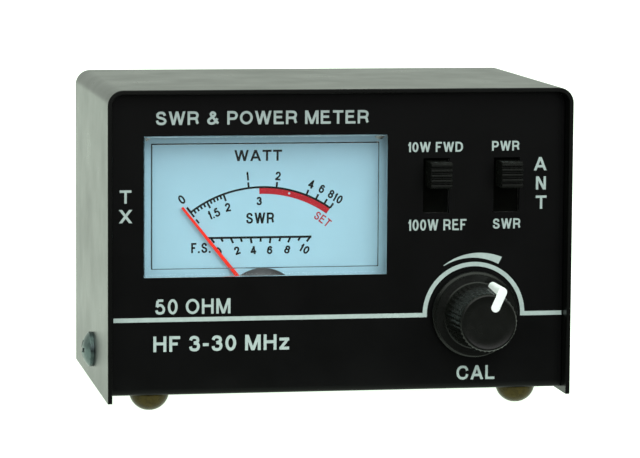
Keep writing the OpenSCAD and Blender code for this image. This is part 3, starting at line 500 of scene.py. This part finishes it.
def joined(outlines):
    """The area covered by the outlines: points, and the corners of each cell by number."""
    points, edges, near = [], [], {}
    for outline in outlines:
        first, count = len(points), len(outline)
        points += [Vector(p) for p in outline]
        edges += [(first + i, first + (i + 1) % count) for i in range(count)]
        for second, third in zip(outline[1:], outline[2:]):
            corners = (outline[0], second, third)
            xs, ys = [p.x for p in corners], [p.y for p in corners]
            for i in range(math.floor(min(xs)), math.floor(max(xs)) + 1):
                for j in range(math.floor(min(ys)), math.floor(max(ys)) + 1):
                    near.setdefault((i, j), []).append(corners)
    flat, _, cells, _, _, _ = delaunay_2d_cdt(points, edges, [], 0, 0.001)
    kept = []
    for cell in cells:
        centre = sum((flat[i] for i in cell), Vector((0, 0))) / len(cell)
        around = near.get((math.floor(centre.x), math.floor(centre.y)), ())
        if any(intersect_point_tri_2d(centre, *corners) for corners in around):
            kept.append(cell)
    return flat, kept


def print_piece(outlines, name, face_y, thick, material):
    """Sinks the ink a little into the surface at face_y, so that no gap shows behind it."""
    flat, cells = joined(outlines)
    work = bmesh.new()
    corners = [work.verts.new((p.x, 0, p.y)) for p in flat]
    for cell in cells:
        work.faces.new([corners[i] for i in cell])
    bmesh.ops.delete(work, geom=[v for v in work.verts if not v.link_faces], context="VERTS")
    bmesh.ops.dissolve_limit(work, angle_limit=0.01, verts=work.verts, edges=work.edges)
    made = bmesh.ops.extrude_face_region(work, geom=list(work.faces))
    moved = {v for v in made["geom"] if isinstance(v, bmesh.types.BMVert)}
    for v in work.verts:
        v.co = Vector((v.co.x, face_y - thick if v in moved else face_y + INK_SUNK, v.co.z)) * MM
    add_piece(name, mesh_from(work, name), material, "case")


# ---- Case ----

finished_copy("cover", 0.22, segments=3)
finished_copy("chassis", 0.14)
finished_copy("cover_screws", 0.1)
finished_copy("m3_screws", 0.08)
finished_copy("m3_nuts", 0.1)


def rubber_feet():
    """Domes with a small flat to stand on and a dimple in it, each with a stem up into the case."""
    work = bmesh.new()
    lowest, highest = low("feet"), high("feet")
    top = low("chassis").z
    foot_r, flat, stem, steps = 4.5, 1.2, 1.9, 24
    ball_z = (foot_r ** 2 - flat ** 2 + top ** 2) / (2 * top)
    ball_r = math.hypot(ball_z, flat)
    profile = [(0, 0.3), (0.55, 0.28), (0.8, 0.08), (flat, 0)]
    for i in range(1, steps + 1):
        z = (top - 0.25) * i / steps
        profile.append((math.sqrt(ball_r ** 2 - (ball_z - z) ** 2), z))
    profile += [(foot_r - 0.06, top - 0.08), (foot_r - 0.25, top), (stem, top),
                (stem, highest.z), (0, highest.z)]
    for x in (lowest.x + foot_r, highest.x - foot_r):
        for y in (lowest.y + foot_r, highest.y - foot_r):
            lathe(work, profile, Vector((x, y, 0)), 64, axis="+Z")
    add_piece("rubber_feet", mesh_from(work, "rubber_feet", 50), PAINT["foot_rubber"], "case",
              ["feet"])


rubber_feet()


# ---- Meter ----

# The pane is shaded flat. Shaded smooth, it would bend the light as a lens does.
window = finished_copy("meter_window", 0.2, segments=3)
for face in window.data.polygons:
    face.use_smooth = False


def dial_scales():
    """The watt arc with the SWR scale under it, and the full-scale line, all about the pivot.

    Angles are clockwise from straight up. The arcs' centre is a little above the pivot.
    """
    centre = PIVOT + Vector((0, 0, 0.36))
    arc, half = 26.7, 0.23
    zero, end = -37.4, 35.3
    fine, firm, tick, strong = 0.39, 0.4, 0.44, 0.5
    tick_top, watts_at, under_at = 28.0, 29.75, 23.6

    black = band(centre, zero - 0.2, end, arc - half, arc + half, 120)
    for angle, label, width in ((-6.7, "1", 0.62), (6.8, "2", 1.2), (21.9, "4", 1.25),
                                (27.0, "6", 1.2), (31.7, "8", 1.2), (35.2, "10", 2.15)):
        black += bar(polar(centre, arc, angle), polar(centre, tick_top, angle), tick)
        black += words(label, polar(PIVOT, watts_at, angle), width, 1.95, fine, angle * 0.85)
    black += bar(polar(centre, arc, zero), polar(centre, tick_top + 0.1, zero), strong)
    black += words("0", polar(centre, 30.25, -37.1), 1.3, 2.1, fine, -35)

    lower_step, upper_step = 1.86, 1.76
    for i in range(11):
        lower, upper = min(i, 5), max(i - 5, 0)
        angle = zero + lower * lower_step + upper * upper_step
        depth = 1.3 if i == 0 else 1.6 if i % 5 == 0 else 0.9
        black += bar(polar(centre, arc, angle), polar(centre, arc - depth, angle), tick - 0.01)
    black += words("1.5", polar(centre, under_at, -27.8), 2.75, 2.0, fine, -22)
    black += words("2", polar(centre, under_at, -19.4), 1.2, 1.95, fine, -10)
    black += words("3", polar(centre, under_at, -1.8), 1.2, 1.9, firm)
    black += bar(polar(centre, under_at, zero), polar(centre, under_at + 1.1, zero), firm)

    for text, left, right, base, top, stroke, gap in (
            ("WATT", -6.4, 4.4, 32.95, 35.45, 0.48, 0.1),
            ("SWR", -3.7, 2.7, 18.87, 21.33, 0.45, 0.13),
            ("F.S.", -16.1, -11.8, 12.4, 14.7, 0.42, 0.2)):
        black += words_between(text, (PIVOT.x + left, PIVOT.x + right),
                               (PIVOT.z + base, PIVOT.z + top), stroke, gap=gap)

    line_z, tick_pitch, leans_to = PIVOT.z + 15.75, 2.26, 15.35
    black += bar((PIVOT.x - 12.25, line_z), (PIVOT.x + 11.2, line_z), strong)
    for i in range(11):
        x = -11.7 + i * tick_pitch
        toward = Vector((-x, -leans_to)).normalized() * (1.35 if i % 2 == 0 else 1.0)
        top = Vector((PIVOT.x + x, line_z))
        black += bar(top, top + toward, tick + 0.02)
    for label, x, z, width in (("0", -9.9, 12.8, 1.2), ("2", -5.7, 12.85, 1.2),
                               ("4", -2.05, 12.85, 1.3), ("6", 1.7, 12.85, 1.25),
                               ("8", 5.7, 12.9, 1.25), ("10", 9.6, 13.0, 2.3)):
        lean = math.degrees(math.atan2(x, z)) * 0.8
        black += words(label, (PIVOT.x + x, PIVOT.z + z), width, 1.85, firm, lean)
    print_piece(black, "dial_scales_black", DIAL_Y, 0.025, BLACK_INK)

    red = band(centre, -1.65, end, arc - half - 1.3, arc - half, 72)
    for name, angle in (("S", 32.0), ("E", 35.4), ("T", 38.8)):
        red += words(name, polar(centre, 23.7, angle), 1.15, 1.9, 0.3, angle + 1)
    print_piece(red, "dial_scales_red", DIAL_Y, 0.02, RED_INK)

    spot, spot_r, sides = polar(centre, 25.95, 13.5), 0.24, 20
    turns = (2 * math.pi * i / sides for i in range(sides))
    dot = [spot + Vector((spot_r * math.sin(a), spot_r * math.cos(a))) for a in turns]
    print_piece([dot], "dial_red_pinhole", DIAL_Y - 0.02, 0.012, PAINT["dial_print"])


dial_scales()


# ---- Front panel print ----

def panel_print():
    """The words, the line across with its arc round the knob, and the wedge that grows clockwise."""
    left = WINDOW.x - 27.4
    bold, small = 0.54, 0.4
    title_z, range_z, reflected_z = (64.4, 67.4), (57.85, 60.1), (40.15, 42.65)
    ink = words_between("SWR & POWER METER", (left + 2.6, left + 50.5), title_z, bold)
    ink += words_between("50 OHM", (left + 2.5, left + 19.4), (22.2, 25.6), 0.56, gap=0.15)
    ink += words_between("HF 3-30 MHz", (left + 2.1, left + 32.7), (13.8, 17.3), 0.66, gap=0.15)
    ink += words_between("CAL", (KNOB.x - 3.8, KNOB.x + 5.0), (6.1, 9.3), 0.56)
    ink += words_between("10W FWD", (RANGE_X - 6.7, RANGE_X + 6.0), range_z, small)
    ink += words_between("100W REF", (RANGE_X - 6.5, RANGE_X + 7.0), reflected_z, small)
    ink += words_between("PWR", (FUNCTION_X - 3.45, FUNCTION_X + 2.9), (58.0, 60.2), small)
    ink += words_between("SWR", (FUNCTION_X - 3.05, FUNCTION_X + 3.35), (40.35, 42.65), small)
    for name, wide, x, z in (("A", 2.9, 7.75, 54.95), ("N", 2.3, 7.95, 50.6),
                             ("T", 2.5, 8.05, 46.25)):
        ink += words(name, (FUNCTION_X + x, z), wide, 3.0, bold)
    for name, wide, z in (("T", 2.6, 48.55), ("X", 2.8, 44.2)):
        ink += words(name, (left - 4.1, z), wide, 2.95, bold)
    line_z, half, ring = 21.0, 0.49, 11.26
    for start, end in ((-50.8, KNOB.x - ring + half), (KNOB.x + ring - half, 51.3)):
        ink += bar((start, line_z), (end, line_z), 2 * half)
    ink += band(KNOB, -90, 90, ring - half, ring + half, 96)
    ink += band(KNOB, -32.6, 26.5, (12.95, 12.5), (13.1, 14.27), 48)
    print_piece(ink, "panel_print", PANEL_Y, 0.03, PANEL_INK)


panel_print()


# ---- Controls ----

def fluted_knob():
    """A skirt, and a tapered cap with hollow flutes that leave a gap for the index."""
    work = bmesh.new()
    centre = Vector((KNOB.x, PANEL_Y, KNOB.z))
    face = PANEL_Y - low("knob").y
    skirt = (high("knob").x - low("knob").x) / 2
    under, skirt_foot, skirt_top, slope = 3.2, 0.8, 1.8, 1.55
    foot, foot_at, cap, shoulder = 7.3, 3.4, 6.6, face - 0.7
    flutes, flutes_from, flute_depth = 40, 3.85, 0.2
    index_turn, index_gap = math.radians(24), 1.05
    dish = face - 0.1

    def flank(along):
        return foot - (foot - cap) * (along - foot_at) / (shoulder - foot_at)

    def fluted(angle, radius, along):
        if along < flutes_from or radius < cap - 0.5:
            return radius
        turned = (angle - index_turn + math.pi) % (2 * math.pi) - math.pi
        if abs(turned) < index_gap * 2 * math.pi / flutes:
            return radius
        wave = 0.5 - 0.5 * math.cos(turned * flutes)
        ends = min(1.0, (along - flutes_from) / 0.3 + 0.3)
        return min(radius, flank(along) - flute_depth * ends * (1 - (1 - wave) ** 2))

    profile = [(0, under), (skirt - 0.55, under), (skirt - 0.55, skirt_foot),
               (skirt - 0.12, skirt_foot), (skirt, 0.92), (skirt, 1.55), (skirt - 0.04, 1.68),
               (skirt - 0.16, skirt_top)]
    for i in range(1, 13):
        t = i / 12
        profile.append((skirt - 0.16 - (skirt - 0.16 - foot - 0.08) * t, skirt_top + slope * t))
    profile += [(foot - 0.01, foot_at + 0.06), (flank(3.6), 3.6), (flank(3.8), 3.8)]
    for i in range(17):
        along = flutes_from + 0.01 + (shoulder - 0.06 - flutes_from - 0.01) * i / 16
        profile.append((flank(along), along))
    for i in range(9):
        t = i / 8
        profile.append((cap - 0.03 - 0.42 * t, shoulder + 0.04 + 0.6 * t))
    profile += [(cap - 0.6, face - 0.01), (cap - 0.85, face - 0.03), (cap - 1.05, dish),
                (4.2, dish), (2.0, dish), (0, dish)]
    lathe(work, profile, centre, 8 * flutes, fluted)
    add_piece("knob_fluted", mesh_from(work, "knob_fluted", 40), PAINT["knob_plastic"], "cal_knob",
              ["knob"])


def slider_plastic_with_painted_shade():
    """The knob's plastic, with its shine taken away behind the panel: painted shade in the sliders'
    slots.
    """
    material = PAINT["knob_plastic"].copy()
    tree = material.node_tree
    place = tree.nodes.new("ShaderNodeNewGeometry")
    split = tree.nodes.new("ShaderNodeSeparateXYZ")
    tree.links.new(place.outputs["Position"], split.inputs[0])
    # Painted shade: the shine fades to none behind the panel face, which darkens the slot recess.
    painted_slot_shade = node_of(tree, "ShaderNodeMapRange", From_Min=PANEL_Y * MM,
                    From_Max=(PANEL_Y + 0.3) * MM, To_Min=0.18, To_Max=0.0)
    tree.links.new(split.outputs["Y"], painted_slot_shade.inputs["Value"])
    shader = tree.nodes["Principled BSDF"]
    tree.links.new(painted_slot_shade.outputs["Result"], shader.inputs["Specular IOR Level"])
    return material


fluted_knob()
finished_copy("knob_pointer", 0.12, segments=3)
for slider in ("range_slider", "function_slider"):
    # The sliders get the plastic with painted shade in their slots.
    finished_copy(slider, 0.1).data.materials[0] = slider_plastic_with_painted_shade()


# ---- Sockets ----

PLATE, BARREL_R, MOUTH_R = 1.6, 7.9375, 6.4
PITCH, THREAD_DEPTH, THREAD_FROM = 25.4 / 24, 0.55, 0.4
NOTCH, NOTCH_DEPTH, NOTCH_WALL = math.asin(0.8 / 7.2), 0.8, 0.004
SOCKET_SCREW_AT, SOCKET_SCREW_R = 9.13, 1.6


def barrel_angles():
    """Directions round the barrel, with close pairs at both walls of each of the four notches."""
    angles = []
    for quarter in range(4):
        start = math.radians(45 + 90 * quarter)
        angles += [start - NOTCH - NOTCH_WALL, start - NOTCH, start - NOTCH / 2, start,
                   start + NOTCH / 2, start + NOTCH, start + NOTCH + NOTCH_WALL]
        span = math.radians(90) - 2 * NOTCH - 2 * NOTCH_WALL
        angles += [start + NOTCH + NOTCH_WALL + span * i / 22 for i in range(1, 22)]
    return angles


def socket_barrel(node, centre, reach):
    """A tube with a 24-to-the-inch thread outside and four notches in its rim."""
    work = bmesh.new()
    angles = barrel_angles()
    threaded = reach - PLATE - 1.6

    def in_notch(angle):
        turned = (angle - math.radians(45) + math.pi / 4) % (math.pi / 2) - math.pi / 4
        return abs(turned) <= NOTCH + 0.001

    def thread(angle, along):
        turn = (along / PITCH - angle / (2 * math.pi)) % 1
        start = (along - PLATE - THREAD_FROM) / 0.8
        fade = min(1.0, start, max(0.0, (reach - 1.2 - along) / 0.8))
        return THREAD_DEPTH * fade * abs(2 * turn - 1)

    rows = int(threaded / PITCH * 8)
    profile = [(thread, BARREL_R, PLATE + THREAD_FROM + threaded * i / rows)
               for i in range(rows + 1)]
    profile += [(None, BARREL_R - 0.3, reach - 0.9), (None, BARREL_R - 0.3, reach - 0.25),
                (None, BARREL_R - 0.5, reach), (None, MOUTH_R + 0.25, reach),
                (None, MOUTH_R, reach - 0.25), (None, MOUTH_R, reach - 1.6),
                (None, MOUTH_R, PLATE)]

    def ring_at(cut, radius, along):
        ring = []
        for angle in angles:
            r = radius - cut(angle, along) if cut else radius
            y = min(along, reach - NOTCH_DEPTH) if in_notch(angle) else along
            place = place_on(centre, r * math.sin(angle), r * math.cos(angle), y, "+Y")
            ring.append(work.verts.new(place))
        return ring

    rings = [ring_at(*row) for row in profile]
    back = ring_at(None, BARREL_R, PLATE)
    for first, second in zip(rings + [back], rings[1:] + [back, rings[0]]):
        for i in range(len(angles)):
            j = (i + 1) % len(angles)
            work.faces.new((first[i], second[i], second[j], first[j]))
    bmesh.ops.remove_doubles(work, verts=work.verts, dist=0.003 * MM)
    bmesh.ops.dissolve_degenerate(work, edges=work.edges, dist=0.002 * MM)
    name = node + "_barrel"
    add_piece(name, mesh_from(work, name, 50), PAINT["nickel"], "case", [node])


def socket_flange(node, centre, half):
    """A square plate with rounded corners, the mouth and four screw holes."""
    work = bmesh.new()
    corners = []
    for quarter, (sx, sz) in enumerate(((1, 1), (1, -1), (-1, -1), (-1, 1))):
        for step in range(7):
            a = math.radians(90 * quarter + 90 * step / 6)
            corners.append((sx * (half - 1) + math.sin(a), sz * (half - 1) + math.cos(a)))
    loops = [corners]
    holes = [(0, 0, MOUTH_R, 72)]
    holes += [(sx * SOCKET_SCREW_AT, sz * SOCKET_SCREW_AT, SOCKET_SCREW_R, 28)
              for sx in (-1, 1) for sz in (-1, 1)]
    for x, z, r, sides in holes:
        turns = [2 * math.pi * i / sides for i in range(sides)]
        loops.append([(x + r * math.sin(a), z + r * math.cos(a)) for a in turns])
    edges = []
    for loop in loops:
        rim = [work.verts.new((x, 0, z)) for x, z in loop]
        edges += [work.edges.new((a, b)) for a, b in zip(rim, rim[1:] + rim[:1])]
    bmesh.ops.triangle_fill(work, use_beauty=True, use_dissolve=False, edges=edges)
    made = bmesh.ops.extrude_face_region(work, geom=list(work.faces))
    moved = {v for v in made["geom"] if isinstance(v, bmesh.types.BMVert)}
    for v in work.verts:
        v.co = Vector(place_on(centre, v.co.x, v.co.z, PLATE if v in moved else 0, "+Y"))
    name = node + "_flange"
    piece = add_piece(name, mesh_from(work, name), PAINT["nickel"], "case")
    break_edges(piece, 0.15, corner=50)


def socket_shell(node):
    """A threaded barrel on a square flange."""
    lowest, highest = low(node), high(node)
    centre = Vector((middle(node).x, lowest.y, middle(node).z))
    socket_barrel(node, centre, highest.y - lowest.y)
    socket_flange(node, centre, (highest.x - lowest.x) / 2)


socket_shell("tx_socket_shell")
socket_shell("ant_socket_shell")
finished_copy("tx_contact", 0.08)
finished_copy("ant_contact", 0.08)
finished_copy("socket_insulators", 0.15)


# ---- Floor and light ----

def staged(name, mesh, material):
    """An object that is part of the studio and not of the part."""
    mesh.materials.append(material)
    thing = bpy.data.objects.new(name, mesh)
    scene.collection.objects.link(thing)
    return thing


def glowing_floor():
    """A round white floor that gives light, so that it shows as plain white."""
    work = bmesh.new()
    floor_r, sides = 6, 64
    turns = [2 * math.pi * i / sides for i in range(sides)]
    work.faces.new([work.verts.new((floor_r * math.sin(a), floor_r * math.cos(a), 0))
                    for a in turns])
    material = surface("white_floor", (0.3, 0.3, 0.3), 0.9, patch=0.01, patch_mm=400, grain=0,
                       Specular_IOR_Level=0.0, Emission_Color=(0.86, 1.0, 0.845, 1),
                       Emission_Strength=1.2)
    staged("floor", mesh_from(work, "floor"), material)


def dark_front():
    """A dark card that lies in front and shows only in reflections, as a studio flag does."""
    work = bmesh.new()
    near, far, side, lift = low("knob").y * MM + 0.004, -2.5, 2, 0.0004
    corners = ((-side, near), (-side, far), (side, far), (side, near))
    work.faces.new([work.verts.new((x, y, lift)) for x, y in corners])
    material = surface("dark_card", (0.06, 0.06, 0.06), 0.9, patch_mm=300, grain=0)
    card = staged("card", mesh_from(work, "card"), material)
    card.visible_camera = False
    card.visible_shadow = False


def eased(tree, socket, span, ends):
    """A value that moves smoothly from one end to the other as the socket crosses the span."""
    node = node_of(tree, "ShaderNodeMapRange", From_Min=span[0], From_Max=span[1],
                   To_Min=ends[0], To_Max=ends[1])
    node.interpolation_type = "SMOOTHSTEP"
    tree.links.new(socket, node.inputs["Value"])
    return node.outputs["Result"]


def studio_room():
    """A faintly green white room, bright behind and above the object, dim behind the camera."""
    world = bpy.data.worlds.new("studio")
    scene.world = world
    world.use_nodes = True
    tree = world.node_tree
    background = tree.nodes["Background"]
    place = tree.nodes.new("ShaderNodeTexCoord")
    split = tree.nodes.new("ShaderNodeSeparateXYZ")
    tree.links.new(place.outputs["Generated"], split.inputs[0])
    above = eased(tree, split.outputs["Z"], (0.3, 0.9), (0.04, 3.2))
    behind = eased(tree, split.outputs["Y"], (-0.25, 0.35), (0.0, 1.0))
    mix = tree.nodes.new("ShaderNodeMix")
    mix.inputs["B"].default_value = 1.04
    tree.links.new(behind, mix.inputs["Factor"])
    tree.links.new(above, mix.inputs["A"])
    tree.links.new(mix.outputs["Result"], background.inputs["Strength"])
    background.inputs["Color"].default_value = (0.93, 1.04, 0.91, 1)


def soft_lamp(name, place_mm, watts):
    """A large square lamp in front, aimed at the middle of the object."""
    data = bpy.data.lights.new(name, "AREA")
    data.energy = watts
    data.size = 0.7
    lamp = bpy.data.objects.new(name, data)
    scene.collection.objects.link(lamp)
    lamp.location = Vector(place_mm) * MM
    lamp.rotation_mode = "QUATERNION"
    toward = Vector((0, 0, 0.035)) - lamp.location
    lamp.rotation_quaternion = toward.to_track_quat("-Z", "Y")
    lamp.visible_camera = False


glowing_floor()
dark_front()
studio_room()
soft_lamp("key", (190, -860, 430), 4.3)
soft_lamp("fill", (-380, -800, 380), 1.8)
